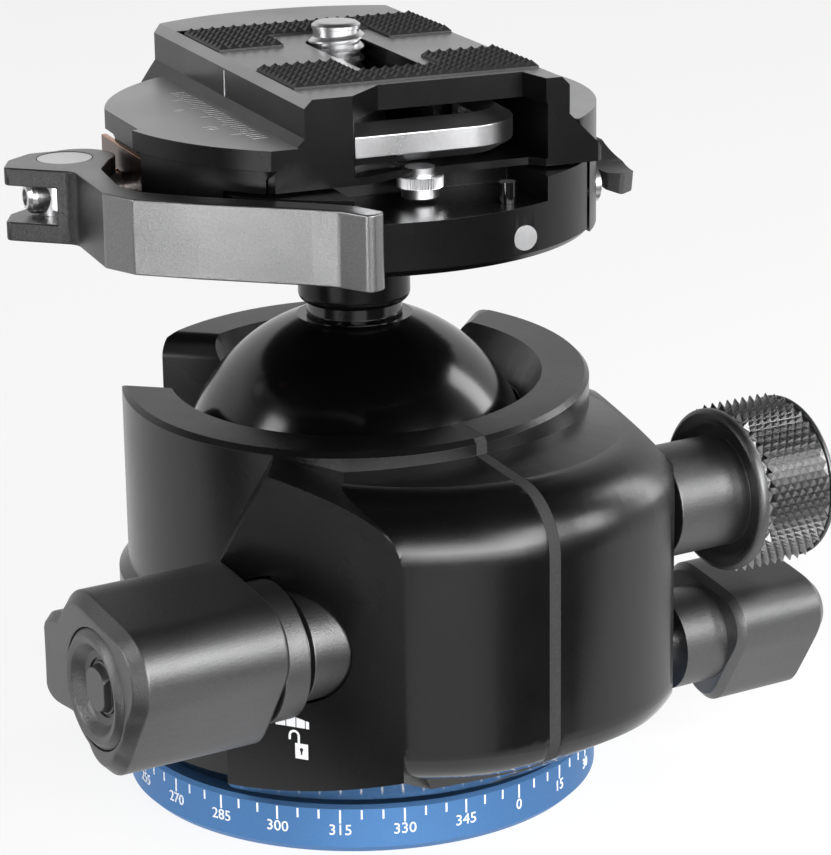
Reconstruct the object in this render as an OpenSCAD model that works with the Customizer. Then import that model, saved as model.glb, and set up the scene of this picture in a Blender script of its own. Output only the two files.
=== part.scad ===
// Ball head for a tripod: panning base, split clamping body, 40 mm ball,
// lever-operated dovetail clamp and a sliding camera plate.
// Millimetres, +Z up. The origin is the centre of the base underside, on the
// pan axis. +X runs along the lock screw, -Y is the front with the split.

/* [Pan base] */
// radius of the graduated ring
base_r = 27; // [25:0.5:30]
// height of the graduated ring
base_h = 5.7; // [5:0.1:6.1]
// radius of the tapped tripod hole (3/8 inch thread)
tripod_r = 4.25; // [3.4:0.05:4.8]

/* [Body] */
// height of the ball centre above the base underside
ball_z = 35.1; // [34.6:0.1:36.5]
// radius of the ball
ball_r = 20; // [19.4:0.1:20.4]
// radius of the upper wall of the body
wall_r = 26.3; // [25.8:0.1:26.8]
// radius of the lower band of the body
band_r = 27.4; // [27:0.1:28.5]
// height of the rim's plane on the pan axis
rim_z = 47.2; // [46.4:0.1:48]
// inner radius of the flat rim
bowl_r = 21; // [20.6:0.1:22]
// width of the split in the nose
split_w = 1.4; // [1:0.1:1.8]
// half width of each drop notch
notch_r = 7.4; // [7:0.1:8]

/* [Lock knob] */
// height of the lock screw
lock_z = 26.2; // [25.6:0.1:27]
// length of the lock knob
lock_len = 17.6; // [15:0.1:19]
// reach of the thumb wing from the screw axis
wing_reach = 13; // [11:0.1:13.4]

/* [Friction knob] */
// height of the friction screw
drag_z = 33.4; // [33:0.1:34]
// outer radius of the diamond knurl
knurl_r = 9.7; // [8.5:0.1:10.5]
// length of the knurled band
knurl_len = 8.5; // [7:0.5:10]
// number of diamonds round the knurl
knurl_n = 36; // [24:2:44]

/* [Pan lock] */
// height of the pan lock screw
pan_z = 14.8; // [14.4:0.1:15.4]
// length of the pan lock knob
pan_len = 13; // [11:0.5:15]

/* [Clamp] */
// turn of the clamp against the body as seen in plan
clamp_turn = -9.2; // [-30:0.1:30]
// thickness of the jaws outside the dovetail foot
jaw_wall = 8; // [7.5:0.1:9]
// underside of the clamp above the base underside
clamp_z = 64.6; // [64:0.1:66]
// thickness of the clamp floor
floor_h = 8.4; // [8:0.1:9]
// radius of the neck
neck_r = 6.3; // [5.5:0.1:6.6]

/* [Plate] */
// width across the dovetail at its foot
dovetail_w = 38; // [37:0.1:39]
// width across the top of the plate
plate_w = 30.1; // [28:0.1:31]
// overall height of the plate
plate_h = 9.5; // [9:0.1:11]
// radius of the camera screw (1/4 inch thread)
camera_r = 3.175; // [3:0.025:3.3]

/* [Hidden] */
$fn = 64;
fit = 0.05;          // clearance of fitted pieces
gap = 0.3;           // clearance of pieces that move past each other
cavity_r = ball_r + gap;
seat_r = ball_r + fit;
ball_flat = ball_r - 1.1;
body_z = base_h + 0.5;
split_x = 0;
lock_y = -23.5;
drag_y = -23.5;
pan_y = -19.5;
// left and right flats of the nose: direction in plan and distance from the axis
left_dir = 214;
left_d = 32.1;
right_dir = -34;
right_d = 35.4;
// nose: centre of its turned front, radius, height of its top and its two rounded edges
nose = [1.8, -11.3];
nose_r = 29.05;
nose_top = 43.2;
nose_round = 7;
nose_foot = 11.7;
nose_low = body_z + 0.6;
foot_round = 5;
// front corner of the left flat, measured along the flat, and the shoulder that rises from it
left_side = [-sin(left_dir), cos(left_dir)];
left_out = [cos(left_dir), sin(left_dir)];
corner_t = nose * left_side + sqrt(nose_r * nose_r - pow(left_d - nose * left_out, 2)) - 0.2;
shoulder_z = nose_top - nose_round;
shoulder_h = 10.2;
shoulder_w = 24;
// tilt of the rim: it rises to the right and to the back
rim_tip = [2.83, -2.06, 0];
lip = 2.8;
// pan bearing
flange_r = 21;
flange_z = body_z + 2.2;
disc_top = flange_z + 2.8;
rim_top = flange_z + 7.4;
hub_r = 13;
retainer_r = 24.9;
bush_r = 6.45;
screw_ring = 9.8;
retainer_ring = 22.9;
// ball seat
cup_r = 10;
cup_z = ball_z - 20.85;
pocket_z = cup_z - 1.05;
// lock knob stations along X
sleeve_r = 6.1;
sleeve_in = -13;
sleeve_out = -22.8;
collar_in = -24;
collar_out = -27.1;
collar_r = 7.5;
knob_in = -27.6;
knob_out = knob_in - lock_len;
lock_r = 3;
cap_r = 6.4;
// friction knob stations along X
drag_r = 2.2;
drag_hub_r = 6.3;
drag_in = 24;
grip_in = 33.9;
grip_out = grip_in + knurl_len;
knurl_depth = 0.75;
grip_bore = 8;
// pan lock stations along X
pan_stem_r = 2.6;
pan_hub_r = 5.6;
pan_in = 28.4;
pan_knob_in = 34;
pan_knob_out = pan_knob_in + pan_len;
// clamp, in its own turned frame; its stations along X grow with the clamp
clamp_r = dovetail_w / 2 + jaw_wall;
grow = clamp_r / 27;
base_left = -20.2 * grow;
base_right = 20.35 * grow;
jaw_left = -20.6 * grow;
jaw_right = 21.1 * grow;
jaw_slab = 2.2;
recess = 0.8;
floor_z = clamp_z + floor_h;
jaw_top = clamp_z + 13.4;
plate_x = 2.1;
foot_z = floor_z + 0.3;
plate_top = foot_z + plate_h;
flare = (dovetail_w - plate_w) / 2;
foot_edge = 1.5;
flare_z = foot_z + foot_edge + flare;
jaw_gap = 0.25;
plate_front = -20.2;
plate_arc = 30;
plate_back = 3.5;
pivot = [-30.6, 7.8] * grow;
rod_y = pivot[1];
rod_z = clamp_z + 4.4;
rod_r = 1.9;
cam_e = 1.5;
cam_r = 4.1;
lever_z0 = clamp_z + 0.3;
lever_z1 = foot_z - gap;
flat_x = pivot[0] + cam_e + cam_r + 1.15;
guide_y = 13;
guide_z = clamp_z + 3.6;
guide_r = 1.5;
guide_left = jaw_left - 0.6;
guide_right = jaw_right + 1;
head_x = jaw_right + 2.5;
rod_left = pivot[0] - 3.3;
wing_x = clamp_r + 0.5;
pocket_floor = floor_z - 2.6;
slot_x = plate_x;
camera_y = 9.6;
camera_shank = camera_r - 0.5;
stop_at = [0.9, -17.6];
black = [0.06, 0.06, 0.065];
grey = [0.36, 0.36, 0.37];
steel = [0.75, 0.75, 0.76];

// solid cylinder along X
module bar_x(x0, x1, r, y, z) {
  translate([x0, y, z])
    rotate([0, 90, 0])
      cylinder(h = x1 - x0, r = r);
}

// half space that lies inside a vertical plane, facing direction dir at distance d
module inside(dir, d) {
  rotate([0, 0, dir])
    translate([d - 200, -100, -20])
      cube([200, 200, 140]);
}

// children placed in the turned frame of the clamp
module in_clamp() {
  rotate([0, 0, clamp_turn])
    children();
}

// rounded triangle: three arcs of radius r about the given centres
module soft_triangle(c, r) {
  polygon(c);
  for (i = [0:2]) {
    a = c[i];
    b = c[(i + 1) % 3];
    e = (b - a) / norm(b - a);
    n = [e[1], -e[0]] * r;
    polygon([a, b, b + n, a + n]);
    translate(a)
      circle(r = r);
  }
}

module pan_base() {
  color([0.16, 0.36, 0.66])
    difference() {
      rotate_extrude()
        polygon([[0, 0], [base_r - 0.8, 0], [base_r, 0.8], [base_r, base_h - 0.4],
          [base_r - 0.4, base_h], [0, base_h]]);
      translate([0, 0, -1])
        cylinder(h = base_h + 2, r = bush_r + fit);
      for (a = [30:120:270])
        rotate([0, 0, a])
          translate([screw_ring, 0, 0]) {
            translate([0, 0, -1])
              cylinder(h = base_h + 2, r = 1.5 + fit);
            translate([0, 0, -fit])
              cylinder(h = 1.95, r1 = 3.15, r2 = 1.5);
          }
    }
}

module tripod_bush() {
  color(steel)
    difference() {
      union() {
        cylinder(h = flange_z + 2.4, r = bush_r);
        translate([0, 0, flange_z + 1])
          cylinder(h = 1.4, r = bush_r + 1);
      }
      translate([0, 0, -1])
        cylinder(h = flange_z + 5, r = tripod_r);
    }
}

module base_screws() {
  color(steel)
    for (a = [30:120:270])
      rotate([0, 0, a])
        translate([screw_ring, 0, 0])
          difference() {
            union() {
              translate([0, 0, 0.1])
                cylinder(h = 1.6, r1 = 2.9, r2 = 1.5);
              translate([0, 0, 1.6])
                cylinder(h = disc_top - 2.2, r = 1.5);
            }
            translate([0, 0, -1])
              cylinder(h = 2.2, r = 1.15, $fn = 6);
          }
}

module pan_spindle() {
  color(grey)
    difference() {
      union() {
        translate([0, 0, base_h + fit])
          cylinder(h = flange_z - base_h, r = hub_r);
        translate([0, 0, flange_z])
          cylinder(h = disc_top - flange_z, r = flange_r);
        translate([0, 0, flange_z])
          difference() {
            cylinder(h = rim_top - flange_z, r = flange_r);
            translate([0, 0, -1])
              cylinder(h = rim_top, r = flange_r - 3.4);
          }
      }
      translate([0, 0, base_h - 1])
        cylinder(h = 20, r = bush_r + fit);
      translate([0, 0, flange_z + 1 - fit])
        cylinder(h = 20, r = bush_r + 1 + fit);
      for (a = [30:120:270])
        rotate([0, 0, a])
          translate([screw_ring, 0, base_h - 1])
            cylinder(h = disc_top - base_h + 0.6, r = 1.5 + fit);
    }
}

module thrust_washer() {
  color("white")
    translate([0, 0, disc_top + fit])
      difference() {
        cylinder(h = 0.4, r = 16.5);
        translate([0, 0, -1])
          cylinder(h = 3, r = 12);
      }
}

module pan_retainer() {
  color(grey)
    difference() {
      translate([0, 0, body_z + 0.15])
        cylinder(h = 1.7, r = retainer_r);
      translate([0, 0, body_z - 1])
        cylinder(h = 5, r = hub_r + 0.6);
      for (a = [0:120:240])
        rotate([0, 0, a])
          translate([retainer_ring, 0, body_z - 1])
            cylinder(h = 5, r = 1.1 + fit);
      for (a = [0:120:240])
        rotate([0, 0, a])
          translate([retainer_ring, 0, body_z + 0.15 - fit])
            cylinder(h = 0.9, r1 = 1.95, r2 = 1.1);
    }
}

module retainer_screws() {
  color(steel)
    for (a = [0:120:240])
      rotate([0, 0, a])
        translate([retainer_ring, 0, body_z + 0.2]) {
          cylinder(h = 0.75, r1 = 1.8, r2 = 1.1);
          translate([0, 0, 0.5])
            cylinder(h = 5.4, r = 1.1);
        }
}

// turned side profile of the nose, rounded along its top and bottom edges
module nose_profile() {
  polygon([[0, 3], [nose_r - foot_round - 5.3, 3], [nose_r - foot_round, nose_foot],
    [nose_r - foot_round, nose_foot + foot_round], [nose_r, nose_foot + foot_round], [nose_r, nose_top - nose_round],
    [nose_r - nose_round, nose_top - nose_round], [nose_r - nose_round, nose_top], [0, nose_top + 2.8]]);
  translate([nose_r - nose_round, nose_top - nose_round])
    circle(r = nose_round);
  translate([nose_r - foot_round, nose_foot + foot_round])
    circle(r = foot_round);
}

// shoulder over the left flat: its top edge climbs from the front corner to the rim
module left_shoulder() {
  rotate([0, 0, left_dir])
    translate([18, 0, 0])
      rotate([90, 0, 90])
        linear_extrude(height = left_d - 18)
          polygon(concat([[corner_t, 2]], [for (k = [0:20]) let (u = pow(k / 20, 2))
            [corner_t - shoulder_w * u, shoulder_z + shoulder_h * pow(u, 0.38)]],
            [[corner_t - shoulder_w, 2]]));
}

// half space beyond a sloping plane through p, whose normal leans theta from Z toward phi
module beyond(p, theta, phi) {
  translate(p)
    rotate([0, theta, phi])
      translate([-60, -60, 0])
        cube([120, 120, 60]);
}

// nose block: turned front between two flats, over a sloping underside
module nose_block() {
  difference() {
    intersection() {
      union() {
        translate([nose[0], nose[1], 0])
          rotate_extrude()
            nose_profile();
        left_shoulder();
      }
      inside(left_dir, left_d);
      inside(right_dir, right_d);
      rotate_extrude()
        polygon([[0, nose_low], [band_r + 0.5, nose_low], [band_r + 19.5, body_z + 12], [band_r + 19.5, 60], [0, 60]]);
    }
    // sloping left end of the flat, and the bevel over the friction knob
    beyond([-24.04, -16.4, 38.47], 61.8, 146.6);
    beyond([-27.05, -17.4, 34.6], 90, 146.6);
    beyond([23.5, -20.7, 42], 52, -16.6);
  }
}

// outside of the body before the ball cavity, the split and the bores
module body_outside() {
  difference() {
    union() {
      rotate_extrude()
        polygon([[0, body_z], [band_r - 1.8, body_z], [band_r, body_z + 1.8], [band_r, 25.2],
          [wall_r, 26.3], [wall_r, rim_z + 4], [0, rim_z + 4]]);
      nose_block();
    }
    // tilted rim with a bevelled outer edge, and the bowl round the ball
    translate([0, 0, rim_z])
      rotate(rim_tip) {
        translate([-60, -60, 0])
          cube([120, 120, 30]);
        translate([0, 0, -4.2])
          cylinder(h = 4.3, r1 = bowl_r - 2.4, r2 = bowl_r + 0.05);
        rotate_extrude()
          polygon([[wall_r - 0.6, 0.1], [wall_r + 1, -1.5], [wall_r + 1, 0.1]]);
      }
  }
}

// height of the rim beside a drop notch in direction a, on side s
function rim_at(a, s) = rim_z + 24 * (tan(-rim_tip[1]) * cos(a + 24 * s) + tan(rim_tip[0]) * sin(a + 24 * s)) + 0.05;

// drop notch along +X, with rounded lips at the rim
module drop_notch(a) {
  rotate([0, 90, 0])
    cylinder(h = 50, r = notch_r);
  translate([0, -notch_r, 0])
    cube([50, 2 * notch_r, 40]);
  rotate([90, 0, 90])
    linear_extrude(height = 50)
      for (s = [-1, 1])
        difference() {
          translate([s * (notch_r + lip / 2 - 0.25) - lip / 2 - 0.25, rim_at(a, s) - ball_z - lip])
            square([lip + 0.5, lip + 4]);
          translate([s * (notch_r + lip), rim_at(a, s) - ball_z - lip])
            circle(r = lip);
        }
}

module housing() {
  color(black)
    difference() {
      body_outside();
      translate([0, 0, ball_z])
        sphere(r = cavity_r);
      // split through the nose, down to the underside
      translate([split_x - split_w / 2, -60, 16.8])
        cube([split_w, 50, 60]);
      translate([split_x - split_w / 2, -60, 0])
        cube([split_w, 60 - 25.4, 60]);
      // two drop notches at the back
      for (a = [45, 135])
        rotate([0, 0, a])
          translate([0, 0, ball_z])
            drop_notch(a);
      // seat pocket and pan bearing chamber
      translate([0, 0, pocket_z])
        cylinder(h = 8, r = cup_r + fit);
      translate([0, 0, 0])
        cylinder(h = body_z + 1.9, r = retainer_r + fit);
      translate([0, 0, 0])
        cylinder(h = disc_top + 0.5, r = flange_r + 0.4);
      difference() {
        cylinder(h = rim_top + 0.4, r = flange_r + 0.4);
        translate([0, 0, -1])
          cylinder(h = 40, r = flange_r - 3.8);
      }
      for (a = [0:120:240])
        rotate([0, 0, a])
          translate([retainer_ring, 0, 0])
            cylinder(h = body_z + 6.6, r = 1.1 + fit);
      // lock screw: spot face, sleeve bore, clearance in the left half, thread in the right
      bar_x(-60, collar_in + gap, collar_r + gap, lock_y, lock_z);
      bar_x(-60, sleeve_in + gap, sleeve_r + gap, lock_y, lock_z);
      bar_x(-20, split_x, lock_r + gap, lock_y, lock_z);
      bar_x(split_x, 17, lock_r + fit, lock_y, lock_z);
      // friction screw: hub bore, clearance in the right half, thread in the left
      bar_x(drag_in - gap, 60, drag_hub_r + gap, drag_y, drag_z);
      bar_x(split_x, 40, drag_r + gap, drag_y, drag_z);
      bar_x(-10.5, split_x, drag_r + fit, drag_y, drag_z);
      // pan lock: pad and stem bore into the bearing chamber, hub bore
      bar_x(5.2, 40, pan_stem_r + fit, pan_y, pan_z);
      bar_x(pan_in - gap, 60, pan_hub_r + gap, pan_y, pan_z);
    }
}

module slot_seal() {
  color([0.09, 0.09, 0.09])
    difference() {
      intersection() {
        body_outside();
        union() {
          translate([split_x - split_w / 2 + 0.03, -60, 17])
            cube([split_w - 0.06, 60 - 18.4, 60]);
          translate([split_x - split_w / 2 + 0.03, -60, 0])
            cube([split_w - 0.06, 60 - 25.6, 60]);
        }
      }
      translate([0, 0, ball_z])
        sphere(r = cavity_r + 0.6);
      bar_x(-20, 20, lock_r + 0.4, lock_y, lock_z);
      bar_x(-20, 20, drag_r + 0.4, drag_y, drag_z);
    }
}

module seat_spring() {
  color(steel)
    translate([0, 0, pocket_z + fit])
      difference() {
        cylinder(h = 0.9, r = cup_r - 0.3);
        translate([0, 0, -1])
          cylinder(h = 3, r = cup_r - 3.5);
      }
}

module ball_seat() {
  color([0.85, 0.84, 0.8])
    difference() {
      translate([0, 0, cup_z])
        cylinder(h = 3.4, r = cup_r);
      translate([0, 0, ball_z])
        sphere(r = seat_r);
      translate([0, 0, cup_z - 1])
        cylinder(h = 10, r = 4);
    }
}

module ball() {
  color(black)
    difference() {
      translate([0, 0, ball_z])
        sphere(r = ball_r);
      translate([0, 0, ball_z + ball_flat])
        cylinder(h = 10, r = neck_r + 3);
      translate([0, 0, ball_z + 9])
        cylinder(h = 30, r = 3 + fit);
    }
}

module neck_ring() {
  color(steel)
    translate([0, 0, ball_z + ball_flat + gap])
      difference() {
        cylinder(h = 1.2, r = 5.4);
        translate([0, 0, -1])
          cylinder(h = 4, r = 3 + fit);
      }
}

module neck() {
  color(black)
    difference() {
      rotate_extrude()
        union() {
          polygon([[0, ball_z + ball_flat + gap + 1.25], [neck_r - 1.1, ball_z + ball_flat + gap + 1.25],
            [neck_r, ball_z + ball_flat + gap + 2.35], [neck_r, clamp_z - fit], [0, clamp_z - fit]]);
          translate([neck_r - 1.1, ball_z + ball_flat + gap + 2.35])
            circle(r = 1.1);
        }
      cylinder(h = 100, r = 3 + fit);
    }
}

module neck_bolt() {
  color(steel)
    difference() {
      union() {
        translate([0, 0, ball_z + 9.5])
          cylinder(h = clamp_z + 4.6 - ball_z - 9.5, r = 3);
        translate([0, 0, clamp_z + 4.6])
          cylinder(h = 3.2, r = 5);
      }
      translate([0, 0, clamp_z + 5.8])
        cylinder(h = 10, r = 2.6, $fn = 6);
    }
}

module lock_screw() {
  color(steel)
    bar_x(knob_out + 3, 16, lock_r, lock_y, lock_z);
}

// cross-section of the lock knob: a rounded body with one thumb wing to the back
module lock_section() {
  offset(r = 0.8, $fn = 32)
    offset(delta = -0.8)
      difference() {
        union() {
          soft_triangle([[0.6, 6.7], [-8.3, 2.4], [-3.6, -6]], 3.2);
          circle(r = 7.2);
          polygon([[0, -5.3], [wing_reach - 1, -5], [wing_reach, -4], [wing_reach, 4], [wing_reach - 1, 5], [0, 5.3]]);
        }
        for (s = [1, -1])
          translate([8.6, s * 8])
            circle(r = 4.3);
      }
}

module lock_knob() {
  color(grey)
    difference() {
      translate([knob_out, lock_y, lock_z])
        rotate([90, 0, 90])
          intersection() {
            linear_extrude(height = lock_len)
              lock_section();
            rotate_extrude()
              polygon([[0, 0], [9, 0], [12.2, 1.6], [wing_reach + 2, 1.6], [wing_reach + 2, lock_len - 1.6],
                [12.2, lock_len - 1.6], [12.2, lock_len], [0, lock_len]]);
          }
      bar_x(knob_out + 2.9, 0, lock_r + fit, lock_y, lock_z);
      bar_x(knob_out - 1, knob_out + 2.2, cap_r + fit, lock_y, lock_z);
    }
}

module lock_cap() {
  color(grey)
    translate([knob_out - 0.5, lock_y, lock_z])
      rotate([0, 90, 0])
        union() {
          difference() {
            rotate_extrude()
              polygon([[0, 1.6], [3.9, 1.3], [4.9, 0.2], [5.6, 0], [cap_r, 0.7], [cap_r, 2.6], [0, 2.6]]);
            cylinder(h = 1.7, r = 3.1);
          }
          intersection() {
            translate([0, 0, 0.5])
              cylinder(h = 1.6, r1 = 2.3, r2 = 2.8);
            translate([-5, -2, 0])
              cube([10, 4, 5]);
          }
          translate([0, 0, 1.4])
            cylinder(h = 1, r = 2.8);
        }
}

module lock_collar() {
  color(grey)
    difference() {
      bar_x(collar_out, collar_in, collar_r, lock_y, lock_z);
      bar_x(-60, 0, lock_r + fit, lock_y, lock_z);
    }
}

module lock_sleeve() {
  color(grey)
    difference() {
      union() {
        bar_x(sleeve_out, sleeve_in, sleeve_r, lock_y, lock_z);
        bar_x(collar_in + fit, sleeve_out + 0.1, sleeve_r - 0.9, lock_y, lock_z);
      }
      bar_x(-60, 0, lock_r + fit, lock_y, lock_z);
    }
}

module drag_screw() {
  color(steel)
    bar_x(-10, grip_out - 2, drag_r, drag_y, drag_z);
}

module drag_hub() {
  color(grey)
    difference() {
      union() {
        bar_x(drag_in, grip_in - 0.4, drag_hub_r, drag_y, drag_z);
        translate([grip_in - 1.4, drag_y, drag_z])
          rotate([0, 90, 0])
            rotate_extrude()
              polygon([[0, 0.9], [7.6, 0.9], [8.7, 0], [9.3, 0.5], [9.3, 1.3], [grip_bore - fit, 1.35],
                [grip_bore - fit, knurl_len + 1.45], [9.3, knurl_len + 1.5], [9.3, knurl_len + 1.9],
                [8.8, knurl_len + 2.3], [0, knurl_len + 2.3]]);
      }
      bar_x(0, grip_out - 1.9, drag_r + fit, drag_y, drag_z);
    }
}

// diamond knurl: peaks and valleys alternate on a grid rolled round the axis
module drag_grip() {
  rows = 17;
  n = 2 * knurl_n;
  step = knurl_len / (rows - 1);
  function lift(i, j) = (j == 0 || j == rows - 1) ? knurl_depth * 0.9 : ((i + j) % 2 == 0 ? 0 : knurl_depth);
  outer = [for (j = [0:rows - 1]) for (i = [0:n - 1])
    [j * step, (knurl_r - lift(i, j)) * cos(360 * i / n), (knurl_r - lift(i, j)) * sin(360 * i / n)]];
  inner = [for (j = [0, rows - 1]) for (i = [0:n - 1])
    [j * step, grip_bore * cos(360 * i / n), grip_bore * sin(360 * i / n)]];
  m = rows * n;
  // each quad is split along its valley diagonal, so every peak is a pyramid
  skin = [for (j = [0:rows - 2]) for (i = [0:n - 1])
    let (a = j * n + i, b = j * n + (i + 1) % n, c = (j + 1) * n + (i + 1) % n, d = (j + 1) * n + i)
    each ((i + j) % 2 == 0 ? [[a, d, b], [b, d, c]] : [[a, d, c], [a, c, b]])];
  bore = [for (i = [0:n - 1]) let (k = (i + 1) % n) each
    [[m + i, m + k, m + n + i], [m + k, m + n + k, m + n + i]]];
  near = [for (i = [0:n - 1]) let (k = (i + 1) % n) each [[i, k, m + i], [k, m + k, m + i]]];
  far = [for (i = [0:n - 1]) let (k = (i + 1) % n, q = (rows - 1) * n) each
    [[q + i, m + n + i, q + k], [q + k, m + n + i, m + n + k]]];
  color(grey)
    translate([grip_in, drag_y, drag_z])
      polyhedron(points = concat(outer, inner), faces = concat(skin, bore, near, far));
}

module pan_stem() {
  color(steel)
    bar_x(16.5, pan_knob_out - 3, pan_stem_r, pan_y, pan_z);
}

module pan_pad() {
  color([0.72, 0.58, 0.3])
    difference() {
      bar_x(6, 16.4, pan_stem_r, pan_y, pan_z);
      translate([0, 0, -1])
        cylinder(h = 60, r = flange_r + fit);
    }
}

// cross-section of the pan lock knob
module pan_section() {
  difference() {
    union() {
      soft_triangle([[-1, 5.6], [-5.6, -2.6], [2.6, -5.2]], 3.1);
      circle(r = 6.6);
      polygon([[0, -3.8], [7.8, -3.2], [8.5, -2.4], [8.5, 2.4], [7.8, 3.2], [0, 3.8]]);
    }
    translate([6.2, 6.6])
      circle(r = 3);
    translate([7.6, -5.6])
      circle(r = 2.2);
  }
}

module pan_knob() {
  color(grey)
    difference() {
      union() {
        bar_x(pan_in, pan_knob_in + 1, pan_hub_r, pan_y, pan_z);
        translate([pan_knob_in, pan_y, pan_z])
          rotate([90, 0, 90])
            intersection() {
              linear_extrude(height = pan_len)
                pan_section();
              rotate_extrude()
                polygon([[0, 0], [8.2, 0], [9, 0.8], [9, pan_len - 1.6], [7.2, pan_len], [0, pan_len]]);
            }
      }
      bar_x(0, pan_knob_out - 2.9, pan_stem_r + fit, pan_y, pan_z);
    }
}

module clamp_base() {
  color(black)
    in_clamp()
      difference() {
        intersection() {
          rotate_extrude()
            polygon([[0, clamp_z], [clamp_r - 0.7, clamp_z], [clamp_r, clamp_z + 0.7], [clamp_r, floor_z], [0, floor_z]]);
          translate([base_left, -50, 0])
            cube([base_right - base_left, 100, 200]);
        }
        // relief for the plate stop, open to the front
        translate([-9.5, -40, pocket_floor])
          cube([22.5, 27, 20]);
        cylinder(h = 200, r = 3 + fit);
        translate([0, 0, clamp_z + 4.6 - fit])
          cylinder(h = 20, r = 5 + fit);
        bar_x(-40, 40, rod_r + 0.2, rod_y, rod_z);
        for (s = [-1, 1])
          bar_x(-40, 40, guide_r + fit, s * guide_y, guide_z);
        translate([9.6, -17, clamp_z + 2.5])
          rotate([90, 0, 0])
            cylinder(h = 20, r = 1.35 + fit);
        translate([8.8, -22.6, pocket_floor - 1.4])
          cylinder(h = 10, r = 0.9 + fit);
      }
}

module fixed_jaw() {
  lip_x = plate_x + plate_w / 2 + flare_z - jaw_top + jaw_gap;
  foot_x = plate_x + dovetail_w / 2 + jaw_gap;
  color(black)
    in_clamp()
      difference() {
        intersection() {
          translate([0, 0, clamp_z + 0.1])
            cylinder(h = jaw_top - clamp_z - 0.1, r = clamp_r);
          rotate([90, 0, 0])
            translate([0, 0, -60])
              linear_extrude(height = 120)
                polygon([[lip_x, jaw_top], [foot_x, foot_z + foot_edge], [foot_x, foot_z - 0.2],
                  [jaw_right, foot_z - 0.2], [jaw_right, clamp_z], [40, clamp_z], [40, jaw_top]]);
          translate([-50, -19.5, 0])
            cube([100, 39, 200]);
        }
        bar_x(0, 60, rod_r + 0.2, rod_y, rod_z);
        for (s = [-1, 1])
          bar_x(0, guide_right + 0.2, guide_r + fit, s * guide_y, guide_z);
        for (y = [-4, -9])
          bar_x(0, 60, 1.25 + fit, y, guide_z);
        for (y = [-4, -9])
          bar_x(head_x, 60, 2.1 + fit, y, guide_z);
      }
}

module jaw_screws() {
  color(steel)
    in_clamp()
      for (y = [-4, -9])
        difference() {
          union() {
            bar_x(base_right + 0.1, head_x + 0.1, 1.25, y, guide_z);
            bar_x(head_x + 0.05, head_x + 1.7, 2.1, y, guide_z);
          }
          translate([head_x + 0.8, y, guide_z])
            rotate([0, 90, 0])
              cylinder(h = 3, r = 1.2, $fn = 6);
        }
}

module moving_jaw() {
  lip_x = plate_x - plate_w / 2 - flare_z + jaw_top - jaw_gap;
  foot_x = plate_x - dovetail_w / 2 - jaw_gap;
  color(black)
    in_clamp()
      difference() {
        intersection() {
          translate([0, 0, clamp_z + gap])
            cylinder(h = jaw_top - clamp_z - gap, r = clamp_r);
          rotate([90, 0, 0])
            translate([0, 0, -60])
              linear_extrude(height = 120)
                polygon([[lip_x, jaw_top], [foot_x, foot_z + foot_edge], [foot_x, foot_z - 0.05],
                  [jaw_left, foot_z - 0.05], [jaw_left, clamp_z], [-40, clamp_z], [-40, jaw_top]]);
          translate([-50, -21, 0])
            cube([100, 44, 200]);
        }
        // recess under the top slab, where the closed lever lies
        difference() {
          cylinder(h = jaw_top - jaw_slab, r = clamp_r + 10);
          translate([0, 0, -1])
            cylinder(h = 200, r = clamp_r - recess);
        }
        // flat for the wear plate, and the slot for its folded front end
        translate([flat_x - 5, -2.8, 0])
          cube([6.5, 1, jaw_top - 2.6]);
        translate([flat_x - 20, -4.5, 0])
          cube([20, 18.5, jaw_top - 2.6]);
        translate([flat_x - 22.05, -4.5, 0])
          cube([20, 18.5, 200]);
        bar_x(-60, 0, rod_r + 0.2, rod_y, rod_z);
        for (s = [-1, 1])
          bar_x(guide_left - gap, 0, guide_r + fit, s * guide_y, guide_z);
      }
}

module wear_plate() {
  color([0.78, 0.45, 0.3])
    in_clamp()
      difference() {
        union() {
          translate([flat_x - 0.75, -2.7, clamp_z + 1.2])
            cube([0.7, 16.3, 8.2]);
          translate([flat_x - 0.75, -2.7, clamp_z + 1.2])
            cube([2, 0.7, 7.8]);
        }
        bar_x(-60, 0, rod_r + 0.2, rod_y, rod_z);
      }
}

module guide_rods() {
  color(steel)
    in_clamp()
      for (s = [-1, 1])
        bar_x(guide_left, guide_right, guide_r, s * guide_y, guide_z);
}

module wall_pin() {
  color(steel)
    in_clamp()
      translate([9.6, -17.1, clamp_z + 2.5])
        rotate([90, 0, 0])
          cylinder(h = 8.3, r = 1.35);
}

module stop_post() {
  color(black)
    in_clamp()
      translate([8.8, -22.6, pocket_floor - 1.3])
        cylinder(h = 3.6, r = 0.9);
}

// plan of the lever: fork at the pivot, S-bend, straight arm and flared tip
module lever_plan() {
  offset(r = 0.9, $fn = 24)
    offset(delta = -0.9)
      offset(r = -2.4, $fn = 32)
        offset(delta = 2.4)
          polygon(grow * [[-38.1, 5.7], [-36.6, 9.2], [-33.6, 11.6], [-29.1, 11.6], [-26.4, 9.6], [-26, 5.4], [-28.6, 0.4],
            [-29.3, -7.6], [-28.5, -11.5], [-23.4, -16.5], [-12.5, -25.3], [-10.2, -27.6], [-8.4, -31.4], [-10.6, -32.4],
            [-12.7, -28.9], [-14.9, -26.9], [-24.6, -19.5], [-30.1, -14.8], [-32, -10.8], [-31.7, 0.3]]);
  translate([pivot[0] + cam_e, pivot[1]])
    circle(r = cam_r);
}

module lever() {
  color(grey)
    in_clamp()
      difference() {
        translate([0, 0, lever_z0])
          linear_extrude(height = lever_z1 - lever_z0)
            lever_plan();
        translate([pivot[0], pivot[1], 0])
          cylinder(h = 200, r = 3 + fit);
        translate([-60, 1.8, rod_z - 2])
          cube([60, 40, 4]);
      }
}

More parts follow.
